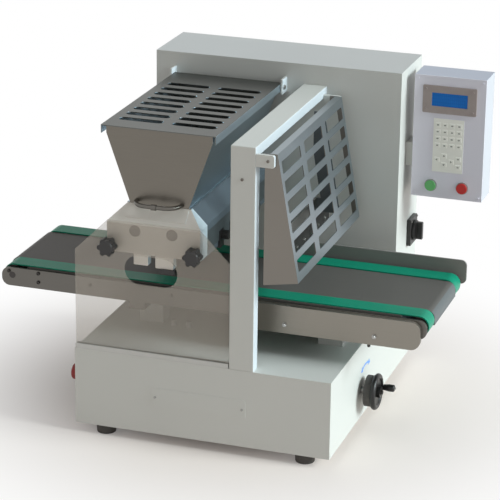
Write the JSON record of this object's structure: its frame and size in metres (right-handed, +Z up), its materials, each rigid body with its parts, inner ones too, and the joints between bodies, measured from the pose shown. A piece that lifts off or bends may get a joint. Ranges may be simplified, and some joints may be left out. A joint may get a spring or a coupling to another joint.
{
  "type": "cookie depositor",
  "caption": "Tabletop cookie depositor with a roller-fed hopper head over a belt conveyor that lifts by handwheel, swing guard, clear guard and control box.",
  "frame": {"origin": "on the floor under the middle of the base", "axes": "+X to the right along the conveyor, +Y to the back, +Z up"},
  "size_m": [1.09, 0.8033, 0.817],
  "materials": {
    "painted_sheet": "fine satin paint",
    "stainless": "brushed",
    "cast_aluminium": "blasted",
    "machined_steel": "turned",
    "black_plastic": "satin",
    "foot_rubber": "matte",
    "clear_sheet": "clear",
    "nozzle_brass": "turned",
    "motor_paint": "satin",
    "box_paint": "satin",
    "panel_aluminium": "satin",
    "bezel_plastic": "satin",
    "display_glass": "lit blue",
    "keypad_film": "matte film",
    "green_plastic": "gloss",
    "red_plastic": "gloss",
    "switch_plastic": "satin",
    "green_belt": "smooth"
  },
  "bodies": {
    "machine": {"base_shell": "painted_sheet", "base_bottom": "machined_steel", "feet": "foot_rubber", "foot_studs": "machined_steel", "rear_housing": "painted_sheet", "rear_cover": "painted_sheet", "cover_screws": "machined_steel", "cable_gland": "black_plastic", "bridge_frame": "painted_sheet", "guard_ears": "painted_sheet", "guard_channel": "stainless", "clear_guard": "clear_sheet", "head_body": "cast_aluminium", "head_front_block": "cast_aluminium", "bearing_caps": "black_plastic", "roller_bearings": "machined_steel", "nozzle_plate": "cast_aluminium", "nozzles": "nozzle_brass", "plate_clamps": "black_plastic", "drive_motor": "motor_paint", "hopper": "stainless", "hopper_handle": "stainless", "lid_brackets": "painted_sheet", "control_box": "box_paint", "control_panel": "panel_aluminium", "display_bezel": "bezel_plastic", "display_screen": "display_glass", "keypad": "keypad_film", "button_collars": "machined_steel", "control_bracket": "painted_sheet", "switch_body": "switch_plastic", "estop_body": "black_plastic", "shaft_blocks": "machined_steel", "guide_blocks": "cast_aluminium"},
    "conveyor": {"lift_racks": "machined_steel", "cross_members": "machined_steel", "conveyor_plates": "cast_aluminium", "bed_plate": "stainless", "belts": "green_belt", "front_cover": "stainless", "rear_fence": "stainless", "conveyor_motor": "motor_paint"},
    "drive_roll": {"drive_shaft": "machined_steel"},
    "idler_roll": {"idler_shaft": "machined_steel"},
    "lift_drive": {"handwheel": "black_plastic", "lift_shaft": "machined_steel"},
    "crank_grip": {"crank_handle": "black_plastic"},
    "swing_guard": {"outfeed_guard": "stainless"},
    "lid": {"hopper_lid": "stainless"},
    "feed_left": {"feed_roller_left": "machined_steel", "roller_gear_left": "machined_steel"},
    "feed_right": {"feed_roller_right": "machined_steel", "roller_gear_right": "machined_steel"},
    "pinion": {"drive_pinion": "machined_steel"},
    "knob_left": {"guard_knob_left": "black_plastic"},
    "knob_right": {"guard_knob_right": "black_plastic"},
    "start": {"start_button": "green_plastic"},
    "stop": {"stop_button": "red_plastic"},
    "estop": {"estop_button": "red_plastic"},
    "main_switch": {"switch_knob": "black_plastic"}
  },
  "joints": [
    {"name": "conveyor_lift", "type": "slide", "parent": "machine", "child": "conveyor", "axis": [0, 0, 1], "range_m": [-0.01, 0.025]},
    {"name": "handwheel_turn", "type": "hinge", "parent": "machine", "child": "lift_drive", "pos_m": [0.358, -0.109, 0.097], "axis": [-1, 0, 0], "range_deg": [-50, 122]},
    {"name": "crank_spin", "type": "hinge", "parent": "lift_drive", "child": "crank_grip", "pos_m": [0.386, -0.076, 0.097], "axis": [1, 0, 0], "continuous": true},
    {"name": "drive_roll_spin", "type": "hinge", "parent": "conveyor", "child": "drive_roll", "pos_m": [0.488, -0.085, 0.333], "axis": [0, 1, 0], "continuous": true},
    {"name": "idler_roll_spin", "type": "hinge", "parent": "conveyor", "child": "idler_roll", "pos_m": [-0.536, -0.085, 0.333], "axis": [0, 1, 0], "continuous": true},
    {"name": "guard_swing", "type": "hinge", "parent": "machine", "child": "swing_guard", "pos_m": [0.159, -0.1, 0.738], "axis": [0, -1, 0], "range_deg": [0, 100]},
    {"name": "lid_swing", "type": "hinge", "parent": "machine", "child": "lid", "pos_m": [-0.122, 0.155, 0.76], "axis": [-1, 0, 0], "range_deg": [0, 100]},
    {"name": "feed_left_spin", "type": "hinge", "parent": "machine", "child": "feed_left", "pos_m": [-0.168, -0.08, 0.529], "axis": [0, 1, 0], "continuous": true},
    {"name": "feed_right_spin", "type": "hinge", "parent": "machine", "child": "feed_right", "pos_m": [-0.076, -0.08, 0.529], "axis": [0, 1, 0], "continuous": true},
    {"name": "pinion_spin", "type": "hinge", "parent": "machine", "child": "pinion", "pos_m": [-0.168, 0.205, 0.459], "axis": [0, 1, 0], "continuous": true},
    {"name": "knob_left_turn", "type": "hinge", "parent": "machine", "child": "knob_left", "pos_m": [-0.228, -0.39, 0.491], "axis": [0, 1, 0], "continuous": true},
    {"name": "knob_right_turn", "type": "hinge", "parent": "machine", "child": "knob_right", "pos_m": [-0.016, -0.39, 0.491], "axis": [0, 1, 0], "continuous": true},
    {"name": "start_press", "type": "slide", "parent": "machine", "child": "start", "axis": [0, 1, 0], "range_m": [0, 0.004], "stiffness_N_per_m": 600, "springref_m": -0.002},
    {"name": "stop_press", "type": "slide", "parent": "machine", "child": "stop", "axis": [0, 1, 0], "range_m": [0, 0.004], "stiffness_N_per_m": 600, "springref_m": -0.002},
    {"name": "estop_press", "type": "slide", "parent": "machine", "child": "estop", "axis": [1, 0, 0], "range_m": [0, 0.006], "stiffness_N_per_m": 800, "springref_m": -0.002},
    {"name": "switch_turn", "type": "hinge", "parent": "machine", "child": "main_switch", "pos_m": [0.34, 0.313, 0.372], "axis": [1, 0, 0], "range_deg": [0, 90]}
  ],
  "couplings": [
    {"joint": "handwheel_turn", "follows": "conveyor_lift", "rad_per_m": 83.333},
    {"joint": "idler_roll_spin", "follows": "drive_roll_spin", "ratio": 1},
    {"joint": "feed_right_spin", "follows": "feed_left_spin", "ratio": -1},
    {"joint": "pinion_spin", "follows": "feed_left_spin", "ratio": -1.9167}
  ]
}
